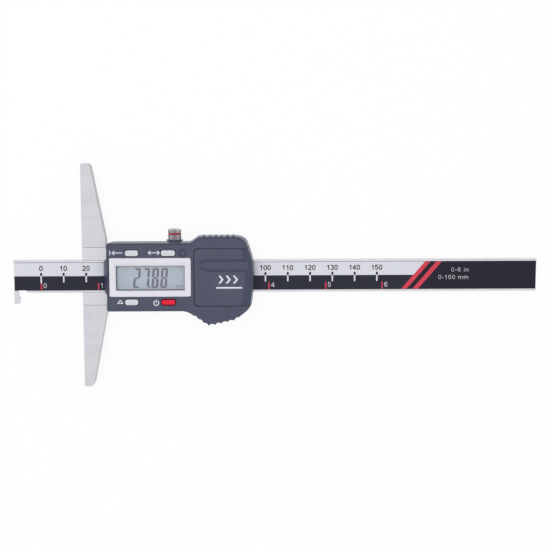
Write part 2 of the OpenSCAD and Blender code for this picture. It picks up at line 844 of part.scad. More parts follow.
module housing_screws() {
    color("silver")
    small_screw_places()
        difference() {
            union() {
                translate([0, 0, 0.2])
                    cylinder(h = 1.3, r = 1.4);
                translate([0, 0, 1])
                    cylinder(h = seat_z + 1.5, r = small_r);
            }
            for (a = [0, 90])
                rotate([0, 0, a])
                    box(-small_r, small_r, -0.2, 0.2, 0, 0.8);
        }
}

module port_plug() {
    color(DARK_PLASTIC)
    translate([cover_x0 - plug_x, plug_y, 0]) {
        translate([0, 0, ceiling_z - 0.4])
            cylinder(h = wall_t + 0.4 - 0.03, r = plug_r);
        translate([0, 0, ceiling_z - 0.9])
            cylinder(h = 0.85, r = plug_r - 0.3);
    }
}

// Display stack, from the window down to the circuit board
module display_window() {
    color([0.85, 0.88, 0.9, 0.35])
    window_hole(0, ceiling_z, wall_t - window_sink);
}

module display_mask() {
    color("#e2e1e8")
    difference() {
        window_hole(0.35, mask_z, mask_t);
        box(view_x, view_x + view_l, view_y, view_y + view_h, mask_z - 1, ceiling_z + 1);
    }
}

view_x = housing_x + window_x + (window_l - view_l) / 2;
view_y = -view_h / 2 - 0.1;

module lcd_panel() {
    color("#a9b4bb")
    box(view_x - 0.8, view_x + view_l + 0.8, view_y - 1.6, view_y + view_h + 1.6, lcd_z, mask_z);
}

module zebra_strips() {
    color("#33343a")
    for (y = [view_y - 0.9, view_y + view_h + 0.9])
        box(view_x + 1, view_x + view_l - 1, y - 0.7, y + 0.7, board_top, lcd_z);
}

module circuit_board() {
    color("#2f6b45")
    difference() {
        box(housing_x + 1.1, frame_len - 0.6, -room_y + 0.2, room_y - 0.2, seat_z, board_top);
        small_screw_places()
            translate([0, 0, seat_z - 1])
                cylinder(h = 4, r = boss_r + 0.2);
    }
}

// Coin cell and its contacts
module cell() {
    color("#c9c9cc")
    translate([cell_x, 0, board_top + contact_t])
        union() {
            cylinder(h = 0.6, r = cell_r - 1.2);
            translate([0, 0, 0.5])
                cylinder(h = cell_t - 0.5, r = cell_r);
        }
}

module cell_contact_minus() {
    color(BRASS)
    box(cell_x - 4, cell_x + 4, -2, 2, board_top, board_top + contact_t);
}

module cell_contact_plus() {
    color(BRASS)
    union() {
        box(cell_x - cell_r - 0.55, cell_x - cell_r - 0.2, -3, 3, board_top, board_top + contact_t + cell_t);
        box(cell_x - cell_r - 0.55, cell_x - cell_r + 0.9, -3, -1, board_top, board_top + contact_t);
        box(cell_x - cell_r - 0.55, cell_x - cell_r + 0.9, 1, 3, board_top, board_top + contact_t);
    }
}

base();
slider_frame();
base_screws();
gib_strip();
gib_screw();
lock_screw();
lock_screw_ring();
beam();
scale_board();
scale_label();
end_stop();
end_stop_screws();
housing();
housing_screws();
display_window();
display_mask();
lcd_panel();
zebra_strips();
circuit_board();
key_switches();
origin_button();
mode_button();
inc_button();
power_button();
port_plug();
cell();
cell_contact_minus();
cell_contact_plus();
battery_cover();
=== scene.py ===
"""Looks of the digital depth caliper: printed scale, display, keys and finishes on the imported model."""
import math

import bpy
import numpy as np
from mathutils import Matrix, Vector
from mathutils.geometry import delaunay_2d_cdt


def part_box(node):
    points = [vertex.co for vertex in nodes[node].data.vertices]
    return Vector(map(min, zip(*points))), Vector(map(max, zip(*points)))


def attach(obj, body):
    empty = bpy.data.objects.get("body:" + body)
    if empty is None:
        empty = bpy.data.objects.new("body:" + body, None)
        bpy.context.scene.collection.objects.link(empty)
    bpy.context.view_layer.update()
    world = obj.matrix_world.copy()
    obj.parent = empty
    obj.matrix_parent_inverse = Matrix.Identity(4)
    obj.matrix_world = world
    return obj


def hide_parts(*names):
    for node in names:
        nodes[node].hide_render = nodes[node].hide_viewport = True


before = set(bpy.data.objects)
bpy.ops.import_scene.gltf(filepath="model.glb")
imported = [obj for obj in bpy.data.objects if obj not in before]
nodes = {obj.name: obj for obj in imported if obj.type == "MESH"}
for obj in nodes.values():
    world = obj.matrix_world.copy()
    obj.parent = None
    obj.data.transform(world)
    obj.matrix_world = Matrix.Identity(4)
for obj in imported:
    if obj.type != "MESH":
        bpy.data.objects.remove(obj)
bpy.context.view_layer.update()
MM = 0.001


def corners(node):
    """The lowest and the highest corner of a CAD node, in millimetres."""
    return [np.round(np.array(corner) / MM, 3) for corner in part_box(node)]


# Sizes and places are in millimetres down to the floor's. These levels come from the frame.
LABEL_TOP = corners("scale_label")[1][2]
PANEL_TOP = corners("lcd_panel")[1][2]
WINDOW_FOOT = corners("display_window")[0][2]
WINDOW_TOP = corners("display_window")[1][2]
FRONT_Z = corners("housing")[1][2]
KEY_TOP = corners("origin_button")[1][2]

# Print: how far it stands out, and how far its foot sinks into what carries it
PRINT_T = 0.012
PRINT_SUNK = 0.002

# The moulded skin: three levels of its walls, and how far the upper and the right wall stand out more at
# each. That sets in from TOP_WALL_Y and END_WALL_X, over a run.
SKIRT_Z = 3.2
PARTING_Z = 8.0
ROLL_Z = FRONT_Z - 0.8
FLARE = (0.45, 0.3, 0.0)
TOP_WALL_Y = 13.6
TOP_WALL_RUN = 0.8
END_WALL_X = 71.0
END_WALL_RUN = 1.5

# The lower grip's path from left to right, and depths inside it before and after its grooves are softened,
# which fades out past the path's ends
LOW_GRIP = np.array([[50.3, -17.75], [55.2, -21.25], [58.0, -21.4], [68.0, -19.2], [70.1, -17.3]])
GROOVE_DEPTHS = (-0.5, 0.0, 0.75, 1.5)
SOFT_DEPTHS = (-0.3, 0.2, 0.575, 1.5)
GRIP_END_FADE = 1.2

# The seam round the battery cover: how far the cover's edges are drawn in, the left one over SEAM_LEFT_FADE
SEAM_W = 0.2
SEAM_LEFT_X = 56.0
SEAM_LEFT_FADE = 3.0
COVER_HALF_W = 13.3

# Ribs on the upper grip: levels along a rib with their share of its section, and the wall behind them
RIB_X = 54.43
RIB_COUNT = 6
RIB_PITCH = 2.57
RIB_HALF_W = 0.72
RIB_H = 0.3
RIB_SUNK = 0.4
RIB_NARROW = 0.4
RIB_LEVELS = ((3.25, 0.7), (3.5, 1.0), (8.0, 1.0), (11.6, 1.0), (12.1, 0.8), (12.4, 0.3))
GRIP_WALL_Z = (SKIRT_Z, PARTING_Z, ROLL_Z, FRONT_Z)
GRIP_WALL_Y = (18.05, 18.5, 18.17, 17.7)

# The printed scale. A mark is its width, foot and top.
SCALE_ZERO = -18.45
INCH_ZERO = -18.44
MM_PITCH = 10.0
INCH_PITCH = 25.4
MM_MARKS = 16
INCH_MARKS = 7
FIELD_EDGE = 0.15
BLACK_MARK = (0.9, 0.27, 1.62)
WHITE_MARK = (0.64, -2.58, FIELD_EDGE)
FIRST_WHITE_MARK = (0.64, -2.97, FIELD_EDGE)
RED_MARK = (0.62, -6.08, -2.97)
INCH_FIGURE_STEP = 0.96
MM_FIGURES = {"y": 2.5, "height": 2.25, "at": 0.5, "pen": 0.178}
INCH_FIGURES = {"y": -5.19, "height": 2.22, "pen": 0.095}
RANGES = (
    {"text": "0-6 in", "x": 165.1, "y": 1.5, "height": 1.87, "room": 0.105, "wide": 1.07, "pen": 0.075},
    {"text": "0-150 mm", "x": 159.3, "y": -1.88, "height": 1.87, "room": 0.045, "wide": 1.12, "pen": 0.075},
)

# Its two leaning stripes: the first one's left edge is at STRIPE_FOOT where y is STRIPE_Y
STRIPE_FOOT = 142.64
STRIPE_Y = -6.07
STRIPE_W = 2.5
STRIPE_STEP = 5.09
STRIPE_LEAN = 0.86

# The display: its reading, the decimal point, the unit and the two lines of painted shade behind the window
READING = "2788"
DIGIT_X = (22.68, 26.76, 30.83, 34.7)
DIGIT_Y = -4.74
DIGIT_SIZE = (3.0, 8.94)
DIGIT_LEAN = 0.08
POINT_X = 29.7
POINT_SIZE = (0.56, 0.62)
UNIT = {"text": "mm", "x": 41.83, "y": -4.77, "height": 1.73, "wide": 0.83, "pen": 0.1}
CRYSTAL_T = 0.03
EDGE_X = (14.8, 15.82, 45.5, 46.4)
EDGE_Y = (-6.2, -5.24, 5.04, 5.8)
EDGE_HALF_T = 0.02

# The display's white border and its opening
BORDER_MIDDLE = (30.5, 0.22)
BORDER_SIZE = (35.9, 17.24)
BORDER_CORNERS = (1.0, 0.5, 0.5, 1.0)
BORDER_TOP = WINDOW_TOP + 0.03
BORDER_FOOT = BORDER_TOP - 0.5
BORDER_EDGE = 0.16
OPENING_MIDDLE = (30.6, -0.1)
OPENING_SIZE = (30.3, 11.0)
OPENING_CORNER = 0.25
OPENING_SLOPE = 0.05

# The keys: bodies and the buttons that they carry. A button's hidden flange stands out round its cap.
KEYS = {
    "origin_key": "origin_button",
    "mode_key": "mode_button",
    "inc_key": "inc_button",
    "power_key": "power_button",
}
KEY_FLANGE = 0.38
KEY_FOOT = 11.4
KEY_CORNER = 1.0
KEY_EDGE = 0.4
KEY_CROWN = 0.12
CROWN_RINGS = (0.8, 0.6, 0.4, 0.2)
CROWN_RIDGE = 0.12

# Marks beside the keys. An arrow's head is the x of its tip and of its back.
MARK_PEN = 0.38
ARROW_Y = 11.2
ARROW_BARB = 0.9
STOP_X = 12.95
STOP_HALF_H = 1.0
ORIGIN_SHAFT = (13.9, 18.5)
ORIGIN_HEAD = (13.95, 15.0)
MODE_SHAFT = (29.9, 34.7)
MODE_HEADS = ((34.75, 33.75), (29.85, 30.85))
TRIANGLE_X = (16.0, 17.2, 18.4)
TRIANGLE_Y = (-11.3, -9.75)
TRIANGLE_LAP = 0.05
POWER_MIDDLE = (33.1, -11.15)
POWER_R = 1.08
POWER_BAR = (-11.05, -9.7)
POWER_PEN = 0.42

# Marks on the battery cover
CHEVRON_X = (60.6, 63.8, 67.0)
CHEVRON_Y = -2.6
CHEVRON = np.array([[0, 0], [0.95, 0], [2.35, 1.75], [0.95, 3.5], [0, 3.5], [1.4, 1.75]])
BAR_MIDDLE = (65.35, -4.5)
BAR_SIZE = (11.6, 0.7)
BAR_CORNER = 0.34

# Floor and light, in metres. FLOOR_WHITE is how much of the floor's tone is plain white to the camera. The
# soft box is what gloss shows overhead: BOX_WAY is its direction, and BOX_EDGE the cosines between which it
# fades in.
FLOOR_HALF = 3.0
FLOOR_Z = -2e-5
FLOOR_WHITE = 0.9
AIR_LIGHT = 0.64
SIDE_GLOW = 0.3
BOX_WAY = (0.0, -0.1305, 0.9914)
BOX_EDGE = (0.915, 0.965)
LAMP_AIM = (0.09, 0.0, 0.0)

# The photograph's camera, fitted to the scale's marks: turns in radians, the offset in millimetres from the
# place that the fit turns about, and the focal length in pixels of the photograph
TILT = 0.1308979
SWING = 0.0243034
ROLL = 0.0009805
FIT_OFFSET = (-4.24379, -0.29989, -525.74439)
FIT_MIDDLE = (81.58, 0.0, LABEL_TOP)
FOCAL_PIXELS = 1173.9357
PHOTO_PIXELS = 550
SENSOR_MM = 36


def linear(red, green, blue):
    """A colour given as 0 to 255 in sRGB, as linear light with an alpha of 1."""
    c = np.array([red, green, blue]) / 255
    c = np.where(c <= 0.04045, c / 12.92, ((c + 0.055) / 1.055) ** 2.4)
    return (*c.tolist(), 1.0)


# Flat outlines


def bars(centres, width, foot, top):
    """Upright rectangles, one about each centre: x = centre +- width / 2, y from foot to top."""
    unit = np.array([[-0.5, 0], [0.5, 0], [0.5, 1], [-0.5, 1]])
    return [unit * [width, top - foot] + [c, foot] for c in centres]


def pill(centre, size, radius, inset=0.0, steps=9):
    """Outline of a rectangle with round corners, drawn in by inset. A corner is a quarter circle, its centre
    plus r (cos t, sin t), and four radii run from the upper right corner to the left."""
    t = np.radians(np.linspace(0, 90, steps))
    half_w, half_h = np.asarray(size) / 2 - inset
    radii = np.broadcast_to(radius, 4) - inset
    ring = []
    for r, east, north, turn in zip(radii, (1, -1, -1, 1), (1, 1, -1, -1), (0, 90, 180, 270)):
        a = t + math.radians(turn)
        x = east * (half_w - r) + r * np.cos(a)
        y = north * (half_h - r) + r * np.sin(a)
        ring.append(np.column_stack([x, y]))
    return np.vstack(ring) + centre


def arc(x, y, rx, ry, start, end, steps=13):
    """Points x + rx cos t, y + ry sin t, with t from start to end in degrees."""
    t = np.radians(np.linspace(start, end, steps))
    return np.column_stack([x + rx * np.cos(t), y + ry * np.sin(t)])


def stroke(line, width):
    """A pen line with square ends as one outline. Each point is pushed half the width to the right, and on
    the way back to the left; at a bend with the normals n and m the push is (n + m) / (1 + n . m)."""
    line = np.asarray(line, float)
    along = np.diff(line, axis=0)
    along /= np.linalg.norm(along, axis=1)[:, None]
    n = np.column_stack([-along[:, 1], along[:, 0]])
    bend = (n[:-1] + n[1:]) / (1 + np.sum(n[:-1] * n[1:], axis=1))[:, None]
    push = np.vstack([n[:1], bend, n[-1:]]) * width / 2
    return np.vstack([line - push, (line + push)[::-1]])


# Solid skins, as points in millimetres and faces


def level(outline, z):
    """A flat outline at the height z."""
    return np.column_stack([outline, np.full(len(outline), z)])


def prisms(outlines, low, high):
    """Closed plates from flat outlines: each outline is repeated at the low and the high level, and a band of
    quads joins the two."""
    points, faces, first = [], [], 0
    for outline in outlines:
        flat = np.asarray(outline, float)
        n = len(flat)
        x, y = flat.T
        if np.sum(x * np.roll(y, -1) - np.roll(x, -1) * y) < 0:
            flat = flat[::-1]
        points += [level(flat, low), level(flat, high)]
        ring = np.arange(n)
        after = np.roll(ring, -1)
        faces += [first + ring[::-1], first + n + ring]
        faces += list(first + np.column_stack([ring, after, after + n, ring + n]))
        first += 2 * n
    return np.vstack(points), faces


def slab(outlines, low, high):
    """One closed plate that fills all the outlines together. A constrained Delaunay net divides them, the
    triangles that lie in no outline go, and each edge with a triangle on one side only gets a wall."""
    first = np.cumsum([0] + [len(o) for o in outlines])
    rings = [list(range(a, b)) for a, b in zip(first[:-1], first[1:])]
    places = [Vector(c) for c in np.vstack(outlines)]
    flat, _, triangles, _, _, owners = delaunay_2d_cdt(places, [], rings, 1, 1e-5)
    top = np.array([t for t, owner in zip(triangles, owners) if owner])
    flat = np.array([tuple(v) for v in flat])
    n = len(flat)
    edges = np.vstack([top[:, [0, 1]], top[:, [1, 2]], top[:, [2, 0]]])
    rim = edges[~np.isin(edges[:, 0] * n + edges[:, 1], edges[:, 1] * n + edges[:, 0])]
    walls = np.column_stack([rim[:, 0], rim[:, 1], rim[:, 1] + n, rim[:, 0] + n])
    points = np.vstack([level(flat, low), level(flat, high)])
    return points, list(top[:, ::-1]) + list(top + n) + list(walls)


def bands(n, here, after):
    """Quads between numbered rings of n points: each ring in here is joined to the one in after."""
    i = np.arange(n)
    j = np.roll(i, -1)
    low = np.asarray(here)[:, None] * n
    high = np.asarray(after)[:, None] * n
    return list(np.stack([low + i, low + j, high + j, high + i], -1).reshape(-1, 4))


def strung(rings):
    """A closed skin through rings of equal length: bands between neighbours, and a fan to the middle at each
    end."""
    n, m = len(rings[0]), len(rings)
    points = np.vstack(rings + [rings[0].mean(0)[None], rings[-1].mean(0)[None]])
    ring = np.arange(n)
    last = (m - 1) * n
    low = np.column_stack([np.full(n, m * n), np.roll(ring, -1), ring])
    high = np.column_stack([np.full(n, m * n + 1), last + ring, last + np.roll(ring, -1)])
    return points, bands(n, np.arange(m - 1), np.arange(1, m)) + list(low) + list(high)


def hoop(rings):
    """A closed ring of any section: bands join each outline to the next one, and the last to the first."""
    order = np.arange(len(rings))
    return np.vstack(rings), bands(len(rings[0]), order, np.roll(order, -1))


def round_edge(centre, size, corner, radius, shoulder, angles):
    """Rings of a pill outline over a quarter-round edge: drawn in by r (1 - cos t) at shoulder + r sin t."""
    return [
        level(pill(centre, size, corner, radius * (1 - math.cos(t))), shoulder + radius * math.sin(t))
        for t in np.radians(angles)
    ]


def key_cap(centre, size):
    """A key from its foot over its round edge to its crown. A ring of the crown is a share of the rim, a
    little longer along x, and lies below the top by KEY_CROWN times the share's square."""
    shoulder = KEY_TOP - KEY_CROWN - KEY_EDGE
    rings = [level(pill(centre, size, KEY_CORNER), KEY_FOOT)]
    rings += round_edge(centre, size, KEY_CORNER, KEY_EDGE, shoulder, (0, 15, 30, 45, 60, 75, 90))
    rim = rings[-1][:, :2] - centre
    for share in CROWN_RINGS:
        ridge = CROWN_RIDGE * (1 - share)
        rings.append(level(rim * [share + ridge, share] + centre, KEY_TOP - KEY_CROWN * share**2))
    return strung(rings)


def window_border():
    """The white border of the display: the window's outline and the opening's, joined by a rounded outer
    edge, a flat face and a small inner slope."""
    rings = [level(pill(BORDER_MIDDLE, BORDER_SIZE, BORDER_CORNERS), BORDER_FOOT)]
    shoulder = BORDER_TOP - BORDER_EDGE
    rings += round_edge(BORDER_MIDDLE, BORDER_SIZE, BORDER_CORNERS, BORDER_EDGE, shoulder, (0, 30, 60, 90))
    for grow, z in ((OPENING_SLOPE, BORDER_TOP), (0.0, BORDER_TOP - OPENING_SLOPE), (0.0, BORDER_FOOT)):
        rings.append(level(pill(OPENING_MIDDLE, OPENING_SIZE, OPENING_CORNER, -grow), z))
    return hoop(rings)


def grip_ribs():
    """Upright half-round ribs on the upper grip. At each level the section is half an ellipse, closed behind
    the wall: x = middle + a cos t and y = wall + b sin t. With the level's share s, b is RIB_H s and a is
    RIB_HALF_W (1 - RIB_NARROW (1 - s))."""
    t = np.radians(np.linspace(0, 180, 11))
    arch = np.column_stack([RIB_HALF_W * np.cos(t), RIB_H * np.sin(t)])
    section = np.vstack([arch, [[-RIB_HALF_W, -RIB_SUNK], [RIB_HALF_W, -RIB_SUNK]]])
    points, faces = [], []
    for k in range(RIB_COUNT):
        rings = []
        for z, s in RIB_LEVELS:
            middle = [RIB_X + k * RIB_PITCH, np.interp(z, GRIP_WALL_Z, GRIP_WALL_Y)]
            rings.append(level(section * [1 - RIB_NARROW * (1 - s), s] + middle, z))
        rib, skin = strung(rings)
        faces += [f + k * len(rib) for f in skin]
        points.append(rib)
    return np.vstack(points), faces


# Figures and digits


def loop(x, y, rx, ry, steps=13):
    """A whole ellipse as two pen lines that overlap a little."""
    return [arc(x, y, rx, ry, -4, 184, steps), arc(x, y, rx, ry, 176, 364, steps)]


def hump(x, y, rx, ry):
    """The shoulder of an n: half an ellipse, and the stem that comes down from it."""
    return np.vstack([arc(x, y, rx, ry, 175, 0), [(x + rx, 0)]])


# Plain figures, 1 high, for a pen about 0.1 wide: each has its advance and its pen lines
ADVANCE = 0.777
STEM = [(0.153, 0), (0.153, 0.724)]
SIX = loop(0.39, 0.315, 0.268, 0.255, 17) + [arc(0.405, 0.5, 0.29, 0.439, 35, 195)]
TWO_BEND = np.vstack([arc(0.385, 0.7, 0.255, 0.239, 165, -35), [(0.13, 0.09)]])
SHAPES = {
    "0": (ADVANCE, loop(0.387, 0.5, 0.268, 0.439, 17)),
    "1": (ADVANCE, [[(0.458, 0), (0.458, 1)], [(0.47, 0.93), (0.34, 0.79), (0.16, 0.705)]]),
    "2": (ADVANCE, [TWO_BEND, [(0.045, 0.06), (0.703, 0.06)]]),
    "3": (ADVANCE, [arc(0.375, 0.737, 0.225, 0.202, 160, -95), arc(0.37, 0.306, 0.275, 0.244, 95, -160)]),
    "4": (ADVANCE, [[(0.51, 0), (0.51, 1)], [(0.02, 0.29), (0.708, 0.29)], [(0.06, 0.3), (0.5, 0.95)]]),
    "5": (ADVANCE, [[(0.165, 0.94), (0.665, 0.94)], [(0.21, 0.97), (0.14, 0.44)],
                    arc(0.375, 0.325, 0.285, 0.264, 150, -160)]),
    "6": (ADVANCE, SIX),
    "7": (ADVANCE, [[(0.066, 0.937), (0.71, 0.937)], [(0.65, 0.94), (0.42, 0.55), (0.3, 0)]]),
    "8": (ADVANCE, loop(0.388, 0.742, 0.218, 0.197) + loop(0.388, 0.304, 0.268, 0.243)),
    "9": (ADVANCE, [np.array([ADVANCE, 1]) - line for line in SIX]),
    "-": (0.465, [[(0.045, 0.36), (0.42, 0.36)]]),
    "i": (0.31, [[(0.154, 0), (0.154, 0.724)], [(0.154, 0.86), (0.154, 1)]]),
    "n": (ADVANCE, [STEM, hump(0.387, 0.42, 0.234, 0.243)]),
    "m": (1.164, [STEM, hump(0.367, 0.45, 0.214, 0.213), hump(0.795, 0.45, 0.214, 0.213)]),
    " ": (0.388, []),
}


def figures(text, x, y, height, pen, at=0.0, room=0.0, wide=1.0):
    """Outlines of pen-drawn figures that stand on y. Where x lies in the text is at, from 0 to 1, room is
    added between figures, and wide is the width against the natural one."""
    drawn, start = [], 0.0
    for letter in text:
        advance, lines = SHAPES[letter]
        drawn += [stroke(line, pen) + [start, 0] for line in lines]
        start += advance + room
    every = np.vstack(drawn)[:, 0]
    shift = every.min() + at * (every.max() - every.min())
    return [(d - [shift, 0]) * [height * wide, height] + [x, y] for d in drawn]


def seven_segments(digit, left):
    """The lit bars of one display digit. A side bar is as wide as side and ends in slopes, a bar at the top
    or foot is a trapezium that is wide outside, and the middle bar is pointed. Mirrored in x and in y, three
    outlines make all seven, and x then leans."""
    w, h = DIGIT_SIZE
    side, end, waist, gap = 1.05, 0.92, 0.36, 0.07
    half = h / 2
    top = np.array([[0.25, h - 0.08], [0.5, h], [w - 0.5, h], [w - 0.25, h - 0.08],
                    [w - side - gap, h - end], [side + gap, h - end]])
    upper = np.array([[0, h - 0.55], [0, half + 0.5], [0.5, half + 0.16], [side, half + waist + 0.14],
                      [side, h - end - 0.16], [0.14, h - 0.24]])
    middle = np.array([[0.5, half], [side, half + waist], [w - side, half + waist], [w - 0.5, half],
                       [w - side, half - waist], [side, half - waist]])
    across, down = np.array([1, -1]), np.array([0, h])
    over, right = np.array([-1, 1]), np.array([w, 0])
    bar = {"a": top, "d": top * across + down, "f": upper, "b": upper * over + right, "g": middle}
    bar["e"] = bar["f"] * across + down
    bar["c"] = bar["b"] * across + down
    lit = {"2": "abged", "7": "abc", "8": "abcdefg"}[digit]
    return [leaning(bar[k], left) for k in lit]


def leaning(outline, left):
    """An outline of the display set in its place, with x leaning to the right by DIGIT_LEAN for each y."""
    x, y = np.asarray(outline, float).T
    return np.column_stack([x + DIGIT_LEAN * y + left, y + DIGIT_Y])


# Rules that move the points of a CAD piece, in millimetres


def wall_flare(points):
    """The upper and the right wall stand out towards the foot, in a straight run from the front edge to the
    parting line and another from there to the skirt."""
    x, y, z = points.T
    out = np.interp(z, (SKIRT_Z, PARTING_Z, ROLL_Z), FLARE)
    right = out * np.clip((x - END_WALL_X) / END_WALL_RUN, 0, 1)
    up = out * np.clip((y - TOP_WALL_Y) / TOP_WALL_RUN, 0, 1)
    return points + np.column_stack([right, up, 0 * z])


def housing_shape(points):
    """The flared walls, and softer grooves along the lower grip: a point inside the grip's path goes from its
    depth to the soft one, in the direction across the nearest run of the path."""
    start, end = LOW_GRIP[:-1], LOW_GRIP[1:]
    length = np.linalg.norm(end - start, axis=1)
    along = (end - start) / length[:, None]
    side = np.column_stack([along[:, 1], -along[:, 0]])
    gap = points[:, None, :2] - start
    run = np.clip(np.sum(gap * along, -1), 0, length)
    gap = gap - along * run[..., None]
    nearest = np.argmin(np.linalg.norm(gap, axis=-1), axis=1)
    gap = gap[np.arange(len(points)), nearest]
    along, side = along[nearest], side[nearest]
    depth = -np.sum(gap * side, -1)
    soft = np.interp(depth, GROOVE_DEPTHS, SOFT_DEPTHS)
    beside = 1 - np.abs(np.sum(gap * along, -1)) / GRIP_END_FADE
    share = np.clip(beside, 0, 1) * (np.abs(depth) < GROOVE_DEPTHS[-1])
    moved = points.copy()
    moved[:, :2] += side * ((depth - soft) * share)[:, None]
    return wall_flare(moved)


def cover_shape(points):
    """The flared right end, with the long edges and the left edge drawn in for the seam round the cover."""
    drawn = points.copy()
    drawn[:, 0] += SEAM_W * np.clip((SEAM_LEFT_X - points[:, 0]) / SEAM_LEFT_FADE, 0, 1)
    drawn[:, 1] -= SEAM_W * points[:, 1] / COVER_HALF_W
    return wall_flare(drawn)


# Pieces


def to_object(name, points, faces, body, slot, surface, smooth=False):
    """A piece from points in millimetres, riding on a body of the model."""
    mesh = bpy.data.meshes.new(name)
    mesh.from_pydata((np.asarray(points, float) * MM).tolist(), [], [list(map(int, f)) for f in faces])
    mesh.update()
    if smooth:
        mesh.shade_smooth()
    piece = bpy.data.objects.new(name, mesh)
    bpy.context.scene.collection.objects.link(piece)
    piece.data.materials.append(surface)
    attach(piece, body)
    return piece


def moulded(node, name, body, surface, shape):
    """A copy of a CAD node whose points are moved by a rule, and which stands for the node."""
    mesh = nodes[node].data.copy()
    mesh.name = name
    co = np.empty(len(mesh.vertices) * 3, np.float32)
    mesh.vertices.foreach_get("co", co)
    points = co.reshape(-1, 3).astype(float) / MM
    mesh.vertices.foreach_set("co", (shape(points) * MM).astype(np.float32).ravel())
    mesh.update()
    mesh.materials.clear()
    mesh.materials.append(surface)
    piece = bpy.data.objects.new(name, mesh)
    bpy.context.scene.collection.objects.link(piece)
    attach(piece, body)
    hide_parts(node)
    return piece


# Node groups


def put(tree, kind, inputs=None, **settings):
    """A node with its settings made, and each input given a value or linked to another node's output."""
    node = tree.nodes.new(kind)
    for key, value in settings.items():
        setattr(node, key, value)
    for key, value in (inputs or {}).items():
        fill(tree, node.inputs[key], value)
    return node


def fill(tree, socket, value):
    """An input socket linked to another node's output, or given a value."""
    if isinstance(value, bpy.types.NodeSocket):
        tree.links.new(value, socket)
    else:
        socket.default_value = value


def maths(tree, operation, *values):
    """The output of a Math node."""
    return put(tree, "ShaderNodeMath", dict(enumerate(values)), operation=operation).outputs[0]


def group(name, inputs, outputs):
    """An empty shader node group. Inputs are (name, socket kind, value), and outputs (name, socket kind)."""
    tree = bpy.data.node_groups.new(name, "ShaderNodeTree")
    for label, kind, value in inputs:
        socket = tree.interface.new_socket(label, in_out="INPUT", socket_type="NodeSocket" + kind)
        socket.default_value = value
    for label, kind in outputs:
        tree.interface.new_socket(label, in_out="OUTPUT", socket_type="NodeSocket" + kind)
    return tree, tree.nodes.new("NodeGroupInput").outputs, tree.nodes.new("NodeGroupOutput").inputs


def object_place(tree, stretch):
    """Object coordinates, each axis stretched for a pattern."""
    place = put(tree, "ShaderNodeTexCoord").outputs["Object"]
    return put(tree, "ShaderNodeVectorMath", {0: place, 1: stretch}, operation="MULTIPLY").outputs[0]


def ranged(tree, value, low, high, start=0.3, end=0.7):
    """A value mapped from start..end to low..high."""
    limits = {"Value": value, "From Min": start, "From Max": end, "To Min": low, "To Max": high}
    return put(tree, "ShaderNodeMapRange", limits).outputs[0]


def noise(tree, place, scale, **detail):
    """The value of a noise texture."""
    return put(tree, "ShaderNodeTexNoise", {"Vector": place, "Scale": scale, **detail}).outputs["Fac"]


def bumped(tree, height, strength, distance, normal):
    """A normal that is tilted by the slope of a height."""
    inputs = {"Height": height, "Strength": strength, "Distance": distance, "Normal": normal}
    return put(tree, "ShaderNodeBump", inputs).outputs[0]


def edge_group():
    """Rounded edges, and a mask for their paler tone, rubbed on most parts and a painted highlight on the
    display border: the bevelled normal, and how far it leans from the flat one.
    """
    outputs = [("Normal", "Vector"), ("Wear and highlight", "Float")]
    tree, given, made = group("worn and highlighted edges", [("Radius", "Float", 0.0002)], outputs)
    bevel = put(tree, "ShaderNodeBevel", {"Radius": given["Radius"]}, samples=6).outputs[0]
    flat = put(tree, "ShaderNodeNewGeometry").outputs["Normal"]
    same = put(tree, "ShaderNodeVectorMath", {0: bevel, 1: flat}, operation="DOT_PRODUCT").outputs["Value"]
    tree.links.new(bevel, made["Normal"])
    tree.links.new(ranged(tree, same, 0, 1, 0.995, 0.8), made["Wear and highlight"])
    return tree


def grinding_group():
    """Grinding lines: noise drawn out along one axis, as a streak value and as a normal."""
    tree, given, made = group(
        "grinding lines",
        [("Stretch", "Vector", (60, 9000, 9000)), ("Depth", "Float", 0.2), ("Normal", "Vector", (0, 0, 0))],
        [("Streak", "Float"), ("Normal", "Vector")],
    )
    fine = noise(tree, object_place(tree, given["Stretch"]), 1, Detail=3, Roughness=0.6)
    cloud = noise(tree, object_place(tree, (25, 160, 160)), 1, Detail=2)
    both = maths(tree, "MULTIPLY_ADD", cloud, 0.35, maths(tree, "MULTIPLY", fine, 0.65))
    tree.links.new(both, made["Streak"])
    tree.links.new(bumped(tree, fine, given["Depth"], 0.00001, given["Normal"]), made["Normal"])
    return tree


def grain_group():
    """Moulded grain: a close pebble of noise cells with a slow mottle under it."""
    tree, given, made = group(
        "moulded grain",
        [("Fineness", "Float", 4200.0), ("Depth", "Float", 0.25), ("Normal", "Vector", (0, 0, 0))],
        [("Mottle", "Float"), ("Normal", "Vector")],
    )
    place = put(tree, "ShaderNodeTexCoord").outputs["Object"]
    pebble = noise(tree, place, given["Fineness"], Detail=2)
    slow = noise(tree, place, 130, Detail=3)
    both = maths(tree, "MULTIPLY_ADD", slow, 0.55, maths(tree, "MULTIPLY", pebble, 0.45))
    tree.links.new(both, made["Mottle"])
    tree.links.new(bumped(tree, pebble, given["Depth"], 0.00002, given["Normal"]), made["Normal"])
    return tree


EDGES_WORN_AND_HIGHLIGHTED = edge_group()
GRINDING = grinding_group()
GRAIN = grain_group()


# Materials


def material(name):
    """A new material: its tree and its Principled shader."""
    made = bpy.data.materials.new(name)
    made.use_nodes = True
    tree = made.node_tree
    return made, tree, tree.nodes["Principled BSDF"]


def plain(shader, **values):
    """Constant inputs of a shader, with _ for each space in a socket's name."""
    for key, value in values.items():
        shader.inputs[key.replace("_", " ")].default_value = value


def placed(tree, which, **values):
    """A node group placed in a material with its own values."""
    node = put(tree, "ShaderNodeGroup", node_tree=which)
    for key, value in values.items():
        fill(tree, node.inputs[key], value)
    return node.outputs


def finish(tree, shader, colour, rough, normal):
    """The three inputs that every worked surface sets by nodes."""
    tree.links.new(colour, shader.inputs["Base Color"])
    tree.links.new(rough, shader.inputs["Roughness"])
    tree.links.new(normal, shader.inputs["Normal"])


